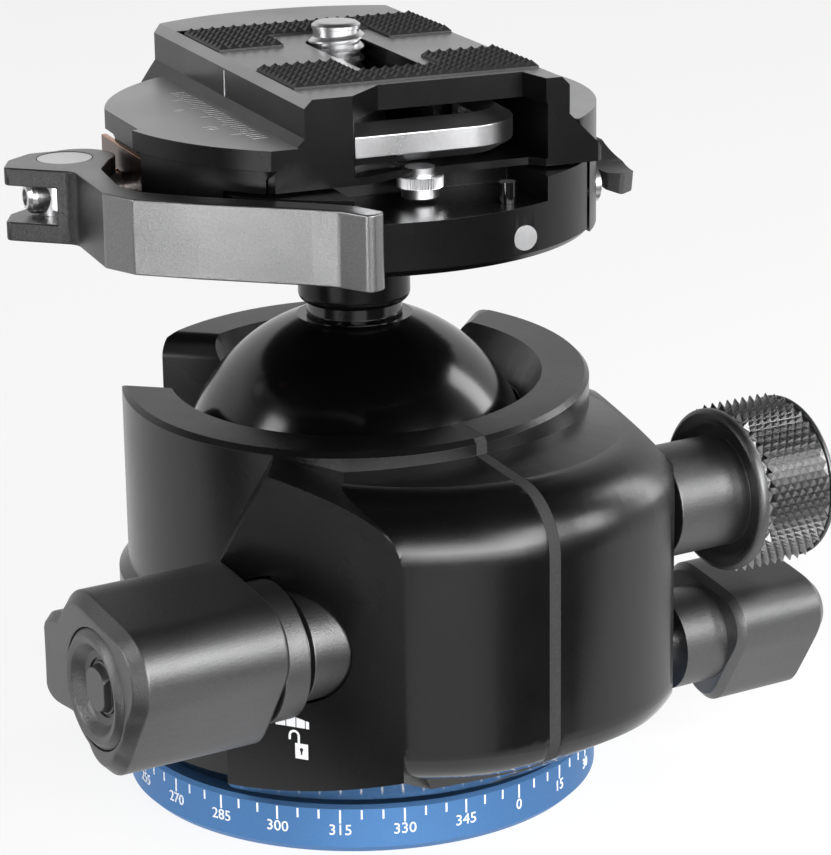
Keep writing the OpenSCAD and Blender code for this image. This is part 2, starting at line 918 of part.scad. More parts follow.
module pivot_pin() {
  color(steel)
    in_clamp()
      difference() {
        translate([pivot[0], pivot[1], lever_z0 + 0.1])
          cylinder(h = lever_z1 - lever_z0 - 0.15, r = 3);
        bar_x(-60, 0, rod_r + fit, rod_y, rod_z);
      }
}

module tension_rod() {
  color(steel)
    in_clamp()
      difference() {
        union() {
          bar_x(rod_left, wing_x + 2.9, rod_r, rod_y, rod_z);
          translate([rod_left + 0.2, rod_y, rod_z])
            rotate([0, -90, 0])
              rotate_extrude()
                polygon([[0, 0], [1.9, 0], [1.9, 0.6], [1.75, 1.1], [1.3, 1.5], [0, 1.7]]);
        }
        bar_x(rod_left - 6, rod_left - 0.7, 0.9, rod_y, rod_z);
      }
}

// outline of the wing nut from above: a hub with two ears that flare outward
module wing_plan() {
  offset(r = 0.7, $fn = 24)
    offset(delta = -0.7)
      polygon([[0.4, -4], [1, -8], [1.8, -12], [3.2, -13.2], [4.9, -12.6], [5.1, -9], [3.6, -4],
        [3.6, 4], [5.1, 9], [4.9, 12.6], [3.2, 13.2], [1.8, 12], [1, 8], [0.4, 4]]);
}

module wing_nut() {
  color(black)
    in_clamp()
      difference() {
        union() {
          bar_x(wing_x, wing_x + 3.7, 3.8, rod_y, rod_z);
          translate([wing_x, rod_y, rod_z])
            rotate([10, 0, 0])
              difference() {
                translate([0, 0, -2.4])
                  linear_extrude(height = 4.8)
                    wing_plan();
                // thumb scoops above and below each ear
                for (s = [-1, 1])
                  for (t = [-1, 1])
                    bar_x(-10, 20, 9, s * 10.5, t * 9.9);
              }
        }
        bar_x(0, wing_x + 3, rod_r + fit, rod_y, rod_z);
      }
}

// top view of the plate: straight sides, recessed front, bowed rear
module plate_plan() {
  intersection() {
    translate([plate_x - 30, plate_front])
      square([60, 80]);
    translate([plate_x, plate_back])
      circle(r = plate_arc, $fn = 128);
  }
}

module plate() {
  hw = plate_w / 2;
  fw = dovetail_w / 2;
  color(black)
    in_clamp()
      difference() {
        intersection() {
          rotate([90, 0, 0])
            translate([plate_x, 0, -60])
              linear_extrude(height = 120)
                polygon([[-fw, foot_z], [fw, foot_z], [fw, foot_z + foot_edge], [hw, flare_z], [hw, plate_top - 0.9],
                  [hw - 0.9, plate_top], [-hw + 0.9, plate_top], [-hw, plate_top - 0.9], [-hw, flare_z],
                  [-fw, foot_z + foot_edge]]);
          translate([0, 0, foot_z - 1])
            linear_extrude(height = 30)
              plate_plan();
        }
        // recessed middle of the front end
        translate([0, 0, foot_z + 0.8])
          linear_extrude(height = 30)
            polygon([[-7.6, -30], [-7.6, plate_front], [-3, plate_front + 4.4], [13.6, plate_front + 4.4],
              [14.4, plate_front], [14.4, -30]]);
        translate([0, 0, foot_z - 1])
          linear_extrude(height = 30)
            polygon([[-7.6, -30], [-6, plate_front], [-2, plate_front + 1.6], [13, plate_front + 1.6],
              [14.4, plate_front], [14.4, -30]]);
        // window that stows the hex key
        translate([-7.4, plate_front - 1, foot_z + 0.8])
          cube([22, 17.5, 6]);
        // slot, counter-slot and screw clip groove
        translate([slot_x - 3.45, -7, foot_z - 1])
          cube([6.9, camera_y + 7, 30]);
        translate([slot_x, camera_y, foot_z - 1])
          cylinder(h = 30, r = 3.45);
        translate([slot_x, -7, foot_z - 1])
          cylinder(h = 30, r = 3.45);
        translate([slot_x - 6.2, -9, foot_z - 1])
          cube([12.4, camera_y + 9, 5.5]);
        translate([slot_x, camera_y, foot_z - 1])
          cylinder(h = 5.5, r = 6.2);
        // pockets for the two pads
        translate([0, 0, plate_top - 0.6])
          linear_extrude(height = 5)
            pad_front_plan(0.1);
        translate([0, 0, plate_top - 0.6])
          linear_extrude(height = 5)
            pad_rear_plan(0.1, 2.6);
        translate([stop_at[0], stop_at[1], 0])
          cylinder(h = foot_z + 1, r = 1.6 + fit);
      }
}

// plan of the front pad, grown by g for its pocket
module pad_front_plan(g) {
  translate([plate_x, 0])
    difference() {
      translate([-14 - g, -19 + 4.4 - g])
        square([28 + 2 * g, 11.6 + 2 * g]);
      translate([-5.6 + g, -9 + g])
        square([11.2 - 2 * g, 20]);
    }
}

// plan of the rear pad, grown by g and lengthened behind by b for its pocket
module pad_rear_plan(g, b) {
  translate([plate_x, 0])
    difference() {
      translate([-14 - g, 9.4 - g])
        square([28 + 2 * g, 12 + 2 * g + b]);
      translate([-6.4 + g, 0])
        square([12.8 - 2 * g, 16 - g]);
    }
}

// rubber pad with a square pyramid grid over a flat base
module pad_front() {
  color([0.07, 0.07, 0.07])
    in_clamp()
      translate([0, 0, plate_top - 0.55])
        linear_extrude(height = 1.1)
          pad_front_plan(0);
}

module pad_rear() {
  color([0.07, 0.07, 0.07])
    in_clamp()
      translate([0, 0, plate_top - 0.55])
        linear_extrude(height = 1.1)
          pad_rear_plan(0, 0);
}

module screw_clip() {
  color(steel)
    in_clamp()
      difference() {
        translate([slot_x, camera_y, foot_z + 3.4])
          cylinder(h = 0.8, r = 5.6);
        translate([slot_x, camera_y, 0])
          cylinder(h = 200, r = camera_shank + fit);
      }
}

module camera_screw() {
  color(steel)
    in_clamp()
      translate([slot_x, camera_y, 0])
        difference() {
          union() {
            translate([0, 0, foot_z + 0.2])
              cylinder(h = 3.1, r = 5.4);
            translate([0, 0, foot_z + 0.3])
              cylinder(h = plate_h, r = camera_shank);
            translate([0, 0, plate_top + 0.1])
              cylinder(h = 1.6, r = camera_r);
            translate([0, 0, foot_z + plate_h + 1.7])
              cylinder(h = 0.7, r1 = camera_r, r2 = camera_r - 0.7);
          }
          translate([0, 0, foot_z - 1])
            cylinder(h = 3.6, r = 2.3, $fn = 6);
        }
}

module stop_screw() {
  color(steel)
    in_clamp()
      translate([stop_at[0], stop_at[1], 0]) {
        translate([0, 0, foot_z - 2.6])
          cylinder(h = 1.3, r = 2);
        translate([0, 0, foot_z - 1.4])
          cylinder(h = 1.35, r = 2.5);
        translate([0, 0, foot_z - 0.1])
          cylinder(h = 1, r = 1.6);
      }
}

// stowed L-shaped hex key, 4 mm across flats: one hexagon swept round a bend
module hex_key() {
  rad = 4 / sqrt(3);
  y0 = plate_front + 4.1;
  z0 = foot_z + 3.45;
  bend = 5;
  turns = 10;
  // stations along the key: place of the centre and heading in plan
  path = concat([[-6.6, y0, 0]],
    [for (k = [0:turns]) let (a = 90 * k / turns) [6.9 + bend * sin(a), y0 + bend - bend * cos(a), a]],
    [[6.9 + bend, y0 + bend + 6, 90]]);
  last = len(path) - 1;
  points = [for (s = path) for (i = [0:5]) let (a = 60 * i + 30)
    [s[0] + rad * cos(a) * sin(s[2]), s[1] - rad * cos(a) * cos(s[2]), z0 + rad * sin(a)]];
  sides = [for (k = [0:last - 1]) for (i = [0:5]) let (j = (i + 1) % 6, a = 6 * k, b = 6 * k + 6)
    each [[a + i, b + i, a + j], [b + i, b + j, a + j]]];
  ends = [[0, 1, 2, 3, 4, 5], [for (i = [5:-1:0]) 6 * last + i]];
  color(steel)
    in_clamp()
      polyhedron(points = points, faces = concat(ends, sides));
}

pan_base();
tripod_bush();
base_screws();
pan_spindle();
thrust_washer();
pan_retainer();
retainer_screws();
housing();
slot_seal();
seat_spring();
ball_seat();
ball();
neck_ring();
neck();
neck_bolt();
lock_screw();
lock_knob();
lock_cap();
lock_collar();
lock_sleeve();
drag_screw();
drag_hub();
drag_grip();
pan_stem();
pan_pad();
pan_knob();
clamp_base();
fixed_jaw();
jaw_screws();
moving_jaw();
wear_plate();
guide_rods();
wall_pin();
stop_post();
lever();
pivot_pin();
tension_rod();
wing_nut();
plate();
pad_front();
pad_rear();
screw_clip();
camera_screw();
stop_screw();
hex_key();
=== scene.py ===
import math
import bpy
from mathutils import Matrix, Vector


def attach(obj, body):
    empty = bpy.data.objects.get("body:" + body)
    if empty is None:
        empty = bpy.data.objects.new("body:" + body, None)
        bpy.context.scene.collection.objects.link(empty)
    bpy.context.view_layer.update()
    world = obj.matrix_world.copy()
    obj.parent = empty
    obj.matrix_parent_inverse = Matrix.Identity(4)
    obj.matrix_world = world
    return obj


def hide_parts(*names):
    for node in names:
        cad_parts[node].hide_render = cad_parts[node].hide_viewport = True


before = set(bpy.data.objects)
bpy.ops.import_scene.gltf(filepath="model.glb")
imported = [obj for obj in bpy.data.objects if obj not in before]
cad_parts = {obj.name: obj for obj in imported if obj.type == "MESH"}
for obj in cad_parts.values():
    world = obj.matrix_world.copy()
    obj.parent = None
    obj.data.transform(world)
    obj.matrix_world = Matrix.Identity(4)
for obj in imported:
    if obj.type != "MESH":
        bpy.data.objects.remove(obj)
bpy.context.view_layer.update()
scene = bpy.context.scene
scene.view_settings.view_transform = "Standard"

# Camera and studio: a long lens from the front left and a little above.
# The head stands near the front edge of a white sweep. A wide softbox by the
# camera, two side boxes and small cards draw the dark metal by reflections.
lens = bpy.data.cameras.new("long_lens")
lens.lens = 137.62
lens.sensor_width = 36
camera = bpy.data.objects.new("camera", lens)
camera.location = (-0.17891, -0.30590, 0.14869)
camera.rotation_euler = (math.radians(72.9934), math.radians(0.7083), math.radians(-31.6166))
scene.collection.objects.link(camera)
scene.camera = camera

bpy.ops.object.select_all(action="DESELECT")
bpy.ops.mesh.primitive_plane_add(size=5, location=(1.237, 2.114, -0.0001), rotation=(0, 0, math.radians(-30.3)))
floor = bpy.context.object
floor.name = "floor"
sweep = bpy.data.materials.new("white_sweep")
sweep.use_nodes = True
nodes, links = sweep.node_tree.nodes, sweep.node_tree.links
nodes.clear()
seen = nodes.new("ShaderNodeLightPath")
either = nodes.new("ShaderNodeMath")
either.operation = "MAXIMUM"
links.new(seen.outputs["Is Camera Ray"], either.inputs[0])
links.new(seen.outputs["Is Glossy Ray"], either.inputs[1])
any_seen = nodes.new("ShaderNodeMath")
any_seen.operation = "MAXIMUM"
links.new(either.outputs[0], any_seen.inputs[0])
links.new(seen.outputs["Is Transmission Ray"], any_seen.inputs[1])
share = nodes.new("ShaderNodeMath")
share.operation = "MULTIPLY"
share.inputs[1].default_value = 0.8
links.new(any_seen.outputs[0], share.inputs[0])
paper = nodes.new("ShaderNodeBsdfDiffuse")
paper.inputs["Color"].default_value = (0.9, 0.9, 0.9, 1)
glow = nodes.new("ShaderNodeEmission")
glow.inputs["Strength"].default_value = 1.04
mixed = nodes.new("ShaderNodeMixShader")
links.new(share.outputs[0], mixed.inputs["Fac"])
links.new(paper.outputs[0], mixed.inputs[1])
links.new(glow.outputs[0], mixed.inputs[2])
surface = nodes.new("ShaderNodeOutputMaterial")
links.new(mixed.outputs[0], surface.inputs["Surface"])
floor.data.materials.append(sweep)

room = bpy.data.worlds.new("room")
room.use_nodes = True
scene.world = room
nodes, links = room.node_tree.nodes, room.node_tree.links
nodes.clear()
seen = nodes.new("ShaderNodeLightPath")
facing = nodes.new("ShaderNodeTexCoord")
behind = nodes.new("ShaderNodeVectorMath")
behind.operation = "DOT_PRODUCT"
behind.inputs[1].default_value = (0.52, 0.85, 0.0)
links.new(facing.outputs["Generated"], behind.inputs[0])
dim_front = nodes.new("ShaderNodeMapRange")
dim_front.inputs["From Min"].default_value = -0.15
dim_front.inputs["From Max"].default_value = 0.35
dim_front.inputs["To Min"].default_value = 0.015
dim_front.inputs["To Max"].default_value = 1.0
links.new(behind.outputs["Value"], dim_front.inputs["Value"])
split = nodes.new("ShaderNodeSeparateXYZ")
links.new(facing.outputs["Generated"], split.inputs[0])
dim_top = nodes.new("ShaderNodeMapRange")
dim_top.inputs["From Min"].default_value = 0.45
dim_top.inputs["From Max"].default_value = 0.75
dim_top.inputs["To Min"].default_value = 1.0
dim_top.inputs["To Max"].default_value = 0.05
links.new(split.outputs["Z"], dim_top.inputs["Value"])
both = nodes.new("ShaderNodeMath")
both.operation = "MULTIPLY"
links.new(dim_front.outputs[0], both.inputs[0])
links.new(dim_top.outputs[0], both.inputs[1])
level = nodes.new("ShaderNodeMix")
level.data_type = "FLOAT"
level.inputs["B"].default_value = 1.0
links.new(seen.outputs["Is Camera Ray"], level.inputs["Factor"])
links.new(both.outputs[0], level.inputs["A"])
backdrop = nodes.new("ShaderNodeBackground")
links.new(level.outputs["Result"], backdrop.inputs["Strength"])
surface = nodes.new("ShaderNodeOutputWorld")
links.new(backdrop.outputs[0], surface.inputs["Surface"])


def softbox(name, place, aim, width, height, power):
    lamp = bpy.data.lights.new(name, "AREA")
    lamp.shape = "RECTANGLE"
    lamp.size = width
    lamp.size_y = height
    lamp.energy = power
    box = bpy.data.objects.new(name, lamp)
    box.location = place
    box.rotation_euler = (Vector(aim) - Vector(place)).to_track_quat("-Z", "Y").to_euler()
    scene.collection.objects.link(box)


softbox("front_box", (-0.150, -0.560, 0.190), (0, 0, 0.04), 0.62, 0.20, 4.7)
softbox("left_box", (-0.60, 0.10, 0.25), (0, 0, 0.05), 0.16, 0.45, 1.6)
softbox("right_box", (0.58, -0.05, 0.28), (0, 0, 0.04), 0.16, 0.40, 1.2)
softbox("front_card", (-0.062, -0.166, -0.001), (-0.062, -0.166, 0.1), 0.11, 0.24, 0.075)
softbox("knob_card_left", (0.045, -0.185, 0.110), (-0.045, -0.02, 0.025), 0.07, 0.07, 0.15)
softbox("knob_card_right", (0.160, -0.175, 0.120), (0.055, 0.0, 0.035), 0.06, 0.07, 0.17)
softbox("lever_card", (-0.345, -0.145, -0.001), (-0.345, -0.145, 0.1), 0.15, 0.17, 0.95)

# Base ring: a turned aluminium ring, bead blasted and dyed blue, held to the
# pan spindle by three countersunk screws. Its degree scale is laser marked in
# white: a tick each 5 degrees, a longer one and a number each 15.
mm = 0.001


def grain_group():
    group = bpy.data.node_groups.new("blasted_grain", "ShaderNodeTree")
    group.interface.new_socket("Fine Scale", in_out="INPUT", socket_type="NodeSocketFloat")
    group.interface.new_socket("Cloud Scale", in_out="INPUT", socket_type="NodeSocketFloat")
    group.interface.new_socket("Height", in_out="OUTPUT", socket_type="NodeSocketFloat")
    group.interface.new_socket("Cloud", in_out="OUTPUT", socket_type="NodeSocketFloat")
    entry = group.nodes.new("NodeGroupInput")
    leave = group.nodes.new("NodeGroupOutput")
    where = group.nodes.new("ShaderNodeTexCoord")
    pits = group.nodes.new("ShaderNodeTexNoise")
    pits.inputs["Detail"].default_value = 2.5
    pits.inputs["Roughness"].default_value = 0.65
    cloud = group.nodes.new("ShaderNodeTexNoise")
    cloud.inputs["Detail"].default_value = 3.0
    for noise, name in ((pits, "Fine Scale"), (cloud, "Cloud Scale")):
        group.links.new(where.outputs["Object"], noise.inputs["Vector"])
        group.links.new(entry.outputs[name], noise.inputs["Scale"])
    group.links.new(pits.outputs["Fac"], leave.inputs["Height"])
    group.links.new(cloud.outputs["Fac"], leave.inputs["Cloud"])
    return group


blasted_grain = grain_group()


def finish(name, dark, light, rough, metallic, pits=5200, bump=0.35, depth=0.00004, specular=0.5):
    made = bpy.data.materials.new(name)
    made.use_nodes = True
    tree = made.node_tree
    shader = tree.nodes["Principled BSDF"]
    shader.inputs["Metallic"].default_value = metallic
    shader.inputs["Specular IOR Level"].default_value = specular
    grain = tree.nodes.new("ShaderNodeGroup")
    grain.node_tree = blasted_grain
    grain.inputs["Fine Scale"].default_value = pits
    grain.inputs["Cloud Scale"].default_value = 90
    tone = tree.nodes.new("ShaderNodeMix")
    tone.data_type = "RGBA"
    tone.inputs["A"].default_value = (*dark, 1)
    tone.inputs["B"].default_value = (*light, 1)
    tree.links.new(grain.outputs["Height"], tone.inputs["Factor"])
    tree.links.new(tone.outputs["Result"], shader.inputs["Base Color"])
    polish = tree.nodes.new("ShaderNodeMapRange")
    polish.inputs["From Min"].default_value = 0.3
    polish.inputs["From Max"].default_value = 0.7
    polish.inputs["To Min"].default_value = rough[0]
    polish.inputs["To Max"].default_value = rough[1]
    tree.links.new(grain.outputs["Cloud"], polish.inputs["Value"])
    tree.links.new(polish.outputs[0], shader.inputs["Roughness"])
    texture = tree.nodes.new("ShaderNodeBump")
    texture.inputs["Strength"].default_value = bump
    texture.inputs["Distance"].default_value = depth
    tree.links.new(grain.outputs["Height"], texture.inputs["Height"])
    tree.links.new(texture.outputs["Normal"], shader.inputs["Normal"])
    return made


def dress(material, *names):
    for name in names:
        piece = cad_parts[name]
        piece.data.materials.clear()
        piece.data.materials.append(material)


blue_dye = finish("blue_dyed_alloy", (0.085, 0.21, 0.44), (0.11, 0.26, 0.52), (0.50, 0.56), 1.0, bump=0.2)
dress(blue_dye, "pan_base")

white_mark = finish("white_laser_mark", (0.74, 0.75, 0.77), (0.84, 0.85, 0.87), (0.55, 0.7), 0.0, bump=0.1)
ring_r = 27 * mm
mark_turn = math.radians(9.2)


def keep_mark(piece, material, body):
    piece.data.materials.clear()
    piece.data.materials.append(material)
    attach(piece, body)


for tick_name, count, low, high, wide in (("short_ticks", 72, 4.15, 5.2, 0.2), ("long_ticks", 24, 3.65, 4.2, 0.2)):
    bpy.ops.object.select_all(action="DESELECT")
    bpy.ops.mesh.primitive_cube_add(size=1)
    ticks = bpy.context.object
    ticks.name = "ring_" + tick_name
    ticks.scale = (wide * mm, 0.12 * mm, (high - low) * mm)
    ticks.location = (0, -ring_r, (high + low) / 2 * mm)
    bpy.ops.object.transform_apply(location=True, rotation=True, scale=True)
    bpy.ops.object.mode_set(mode="EDIT")
    bpy.ops.mesh.select_all(action="SELECT")
    bpy.ops.mesh.spin(steps=count - 1, dupli=True, angle=2 * math.pi * (count - 1) / count,
                      center=(0, 0, 0), axis=(0, 0, 1))
    bpy.ops.object.mode_set(mode="OBJECT")
    ticks.data.transform(Matrix.Rotation(mark_turn, 4, "Z"))
    keep_mark(ticks, white_mark, "base")


def flat_text(label, size, thick):
    bpy.ops.object.select_all(action="DESELECT")
    bpy.ops.object.text_add()
    word = bpy.context.object
    word.data.body = label
    word.data.size = size
    word.data.align_x = "CENTER"
    word.data.resolution_u = 3
    word.data.extrude = thick
    bpy.ops.object.convert(target="MESH")
    return bpy.context.object


numbers = []
for step in range(24):
    number = flat_text(str(15 * step), 1.75 * mm, 0.04 * mm)
    start = math.radians(-80.8 + 15 * step)
    for point in number.data.vertices:
        across, up, out = point.co
        turn = start + across / ring_r
        reach = ring_r + out + 0.03 * mm
        point.co = (reach * math.cos(turn), reach * math.sin(turn), 2.3 * mm + up)
    numbers.append(number)
bpy.ops.object.select_all(action="DESELECT")
for number in numbers:
    number.select_set(True)
bpy.context.view_layer.objects.active = numbers[0]
bpy.ops.object.join()
numbers[0].name = "ring_numbers"
keep_mark(numbers[0], white_mark, "base")

# Pan bearing: steel bush and screws, a plain alloy spindle and retainer ring,
# and a white polymer thrust washer. All of it is inside, seen only from below.
plain_steel = finish("machined_steel", (0.48, 0.48, 0.49), (0.62, 0.62, 0.63), (0.24, 0.36), 1.0,
                     pits=2600, bump=0.12)
plain_alloy = finish("turned_alloy", (0.50, 0.50, 0.51), (0.62, 0.62, 0.63), (0.35, 0.45), 1.0, pits=3000, bump=0.15)
white_polymer = finish("white_polymer", (0.72, 0.71, 0.67), (0.82, 0.81, 0.77), (0.45, 0.6), 0.0, bump=0.1)
dress(plain_steel, "tripod_bush", "base_screws", "retainer_screws")
dress(plain_alloy, "pan_spindle", "pan_retainer")
dress(white_polymer, "thrust_washer", "ball_seat")

# Body: one block of aluminium, milled, bead blasted and dyed black, with its
# edges eased by hand. The cone under the nose is left bright and smooth, so
# the ring's scale shows in it.
def ease_edges(piece, width, sharp=28, steps=2, left_flat=None):
    ease = piece.modifiers.new("ease", "BEVEL")
    ease.width = width
    ease.segments = steps
    ease.limit_method = "ANGLE"
    ease.angle_limit = math.radians(sharp)
    ease.use_clamp_overlap = True
    ease.face_strength_mode = "FSTR_AFFECTED"
    bpy.ops.object.modifier_apply(modifier="ease")
    bpy.ops.object.shade_smooth_by_angle(angle=math.radians(max(sharp, 28)))
    if left_flat:
        for face in piece.data.polygons:
            face.use_smooth = not left_flat(face.center)
    even = piece.modifiers.new("even", "WEIGHTED_NORMAL")
    even.keep_sharp = True
    even.use_face_influence = True
    bpy.ops.object.modifier_apply(modifier="even")


def eased_copy(node, body, width, material, sharp=28, steps=2, left_flat=None, triangles=False):
    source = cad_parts[node]
    bpy.ops.object.select_all(action="DESELECT")
    piece = bpy.data.objects.new(node + "_eased", source.data.copy())
    scene.collection.objects.link(piece)
    piece.select_set(True)
    bpy.context.view_layer.objects.active = piece
    bpy.ops.object.mode_set(mode="EDIT")
    bpy.ops.mesh.select_all(action="SELECT")
    bpy.ops.mesh.remove_doubles(threshold=0.000002)
    bpy.ops.mesh.dissolve_limited(angle_limit=math.radians(0.4))
    if triangles:
        bpy.ops.mesh.quads_convert_to_tris(quad_method="BEAUTY", ngon_method="BEAUTY")
    bpy.ops.object.mode_set(mode="OBJECT")
    ease_edges(piece, width, sharp, steps, left_flat)
    piece.data.materials.clear()
    piece.data.materials.append(material)
    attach(piece, body)
    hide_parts(node)
    return piece


black_dye = finish("black_dyed_alloy", (0.0008, 0.0008, 0.0009), (0.003, 0.003, 0.0032), (0.24, 0.31), 0.0,
                   pits=6500, bump=0.22, specular=0.5)
smooth_black = finish("smooth_black_alloy", (0.002, 0.002, 0.0022), (0.004, 0.004, 0.0042), (0.10, 0.16), 0.0,
                      bump=0.05, specular=0.6)


def under_rim(place):
    return place.y < 0 and 42.9 * mm < place.z < 45.2 * mm and 24 * mm < place.xy.length < 31 * mm


body = eased_copy("housing", "housing", 0.3 * mm, black_dye, sharp=24, left_flat=under_rim)
body.data.materials.append(smooth_black)
for face in body.data.polygons:
    if face.normal.z < -0.25 and face.center.z < 16 * mm:
        face.material_index = 1

# Rubber strip: a moulded strip in the split of the nose, pressed in to keep
# dust out of the seat.
strip_rubber = finish("strip_rubber", (0.012, 0.012, 0.012), (0.045, 0.045, 0.045), (0.65, 0.8), 0.0,
                      pits=5200, bump=0.8, specular=0.3)
dress(strip_rubber, "slot_seal")

# Lock sign: a wedge of growing bars over an open padlock, printed in white on
# the left flat of the nose beside the lock knob.
flat_turn = math.radians(214)
flat_out = Vector((math.cos(flat_turn), math.sin(flat_turn), 0))
flat_side = Vector((-math.sin(flat_turn), math.cos(flat_turn), 0))


def on_flat(piece):
    for point in piece.data.vertices:
        across, up, out = point.co
        point.co = flat_out * (32.1 * mm + out) + flat_side * across + Vector((0, 0, up))


def sign_block(left, right, low, high, slope=0.0):
    bpy.ops.object.select_all(action="DESELECT")
    bpy.ops.mesh.primitive_cube_add(size=1)
    block = bpy.context.object
    block.scale = ((right - left) * mm, (high - low) * mm, 0.06 * mm)
    block.location = ((left + right) / 2 * mm, (low + high) / 2 * mm, 0)
    bpy.ops.object.transform_apply(location=True, rotation=True, scale=True)
    for point in block.data.vertices:
        if point.co.y > (low + high) / 2 * mm:
            point.co.y -= slope * (point.co.x - left * mm)
    return block


sign = []
for left, right, high in ((5.25, 6.4, 18.85), (6.53, 7.6, 18.57), (7.73, 8.72, 18.31), (8.84, 9.2, 18.07)):
    sign.append(sign_block(left, right, 17.2, high, slope=0.22))
lock_box = sign_block(7.5, 9.02, 13.65, 15.4)
bpy.ops.object.mode_set(mode="EDIT")
bpy.ops.mesh.select_all(action="SELECT")
bpy.ops.mesh.bevel(offset=0.02 * mm, segments=1)
bpy.ops.object.mode_set(mode="OBJECT")
sign.append(lock_box)
sign.append(sign_block(6.76, 7.02, 15.72, 16.22))
sign.append(sign_block(7.82, 8.08, 15.3, 16.22))
bpy.ops.object.select_all(action="DESELECT")
bpy.ops.mesh.primitive_torus_add(major_radius=0.53 * mm, minor_radius=0.13 * mm, major_segments=28, minor_segments=6)
shackle = bpy.context.object
bpy.ops.object.mode_set(mode="EDIT")
bpy.ops.mesh.select_all(action="SELECT")
bpy.ops.mesh.bisect(plane_co=(0, 0, 0), plane_no=(0, 1, 0), clear_inner=True, use_fill=True)
bpy.ops.mesh.select_all(action="SELECT")
bpy.ops.transform.resize(value=(1, 1, 0.25))
bpy.ops.object.mode_set(mode="OBJECT")
shackle.data.transform(Matrix.Translation((7.42 * mm, 16.2 * mm, 0)))
sign.append(shackle)
bpy.ops.object.select_all(action="DESELECT")
bpy.ops.mesh.primitive_circle_add(vertices=20, radius=0.21 * mm, fill_type="NGON",
                                  location=(8.26 * mm, 14.72 * mm, 0.035 * mm))
bpy.ops.object.transform_apply(location=True, rotation=True, scale=True)
keyhole = bpy.context.object
bpy.ops.object.mode_set(mode="EDIT")
bpy.ops.mesh.select_all(action="SELECT")
bpy.ops.mesh.extrude_region_move(TRANSFORM_OT_translate={"value": (0, 0, 0.01 * mm)})
bpy.ops.object.mode_set(mode="OBJECT")
for point in keyhole.data.vertices:
    if point.co.y < 14.6 * mm and abs(point.co.x - 8.26 * mm) < 0.12 * mm:
        point.co.y -= 0.4 * mm
on_flat(keyhole)
keyhole.name = "lock_sign_keyhole"
keep_mark(keyhole, black_dye, "housing")
bpy.ops.object.select_all(action="DESELECT")
for part in sign:
    on_flat(part)
    part.select_set(True)
bpy.context.view_layer.objects.active = sign[0]
bpy.ops.object.join()
sign[0].name = "lock_sign"
bpy.ops.object.mode_set(mode="EDIT")
bpy.ops.mesh.select_all(action="SELECT")
bpy.ops.mesh.normals_make_consistent(inside=False)
bpy.ops.object.mode_set(mode="OBJECT")
keep_mark(sign[0], white_mark, "housing")

# Ball and its seat: the ball is turned, ground and hard coated glossy black.
# It sits in a polymer cup on a wave spring.
ball_coat = finish("black_ball_coat", (0.0006, 0.0006, 0.0007), (0.0012, 0.0012, 0.0013), (0.13, 0.19), 0.0,
                   pits=2500, bump=0.03, specular=0.5)
dress(ball_coat, "ball")
dress(plain_steel, "seat_spring")

# Neck: a turned black sleeve between ball and clamp, with a polished black
# washer under it, held by one bolt from inside the clamp.
dress(smooth_black, "neck_ring")
dress(plain_steel, "neck_bolt")
satin_black = finish("satin_black_alloy", (0.001, 0.001, 0.0011), (0.003, 0.003, 0.0032), (0.20, 0.28), 0.0,
                     pits=6000, bump=0.15, specular=0.22)
eased_copy("neck", "clamp", 0.15 * mm, satin_black)

# Lock knob: milled from bar, blasted and dyed dark grey. The cap is a turned
# dish pressed into its end, and the collar and sleeve turn with it.
grey_dye = finish("grey_dyed_alloy", (0.11, 0.11, 0.111), (0.17, 0.17, 0.172), (0.40, 0.47), 1.0, pits=5200, bump=0.9)
sides = 144


def lobed_edge(lobes, wing):
    raw = []
    for step in range(sides):
        turn = 2 * math.pi * step / sides
        reach = 99
        for lean in range(-80, 81, 2):
            face = turn + math.radians(lean)
            out = max(y * math.cos(face) + z * math.sin(face) + r for y, z, r in lobes)
            reach = min(reach, out / math.cos(math.radians(lean)))
        if wing and math.cos(turn) > 0.1:
            reach = max(reach, min(wing / math.cos(turn), 4.9 / max(abs(math.sin(turn)), 0.01)))
        raw.append(reach)
    return [sum(raw[(k + d) % sides] for d in range(-2, 3)) / 5 for k in range(sides)]


def lobed_knob(node, body, middle_y, middle_z, rings):
    bpy.ops.object.select_all(action="DESELECT")
    bpy.ops.mesh.primitive_circle_add(vertices=sides, radius=mm, fill_type="NGON", rotation=(0, math.pi / 2, 0),
                                      location=(rings[0][0] * mm, middle_y * mm, middle_z * mm))
    bpy.ops.object.transform_apply(location=True, rotation=True, scale=True)
    knob = bpy.context.object
    knob.name = node + "_lobed"
    bpy.ops.object.mode_set(mode="EDIT")
    bpy.ops.mesh.select_all(action="SELECT")
    bpy.ops.object.mode_set(mode="OBJECT")
    for number, (along, reach) in enumerate(rings):
        if number:
            bpy.ops.object.mode_set(mode="EDIT")
            bpy.ops.mesh.extrude_region_move(TRANSFORM_OT_translate={"value": (0, 0, 0)})
            bpy.ops.object.mode_set(mode="OBJECT")
        for point in knob.data.vertices:
            if point.select:
                turn = math.atan2(point.co.z - middle_z * mm, point.co.y - middle_y * mm)
                out = reach[round(turn / (2 * math.pi) * sides) % sides]
                point.co = Vector((along, middle_y + out * math.cos(turn), middle_z + out * math.sin(turn))) * mm
    bpy.ops.object.mode_set(mode="EDIT")
    bpy.ops.mesh.select_all(action="SELECT")
    bpy.ops.mesh.normals_make_consistent(inside=False)
    bpy.ops.object.mode_set(mode="OBJECT")
    ease_edges(knob, 0.18 * mm)
    knob.data.materials.append(grey_dye)
    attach(knob, body)
    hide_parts(node)


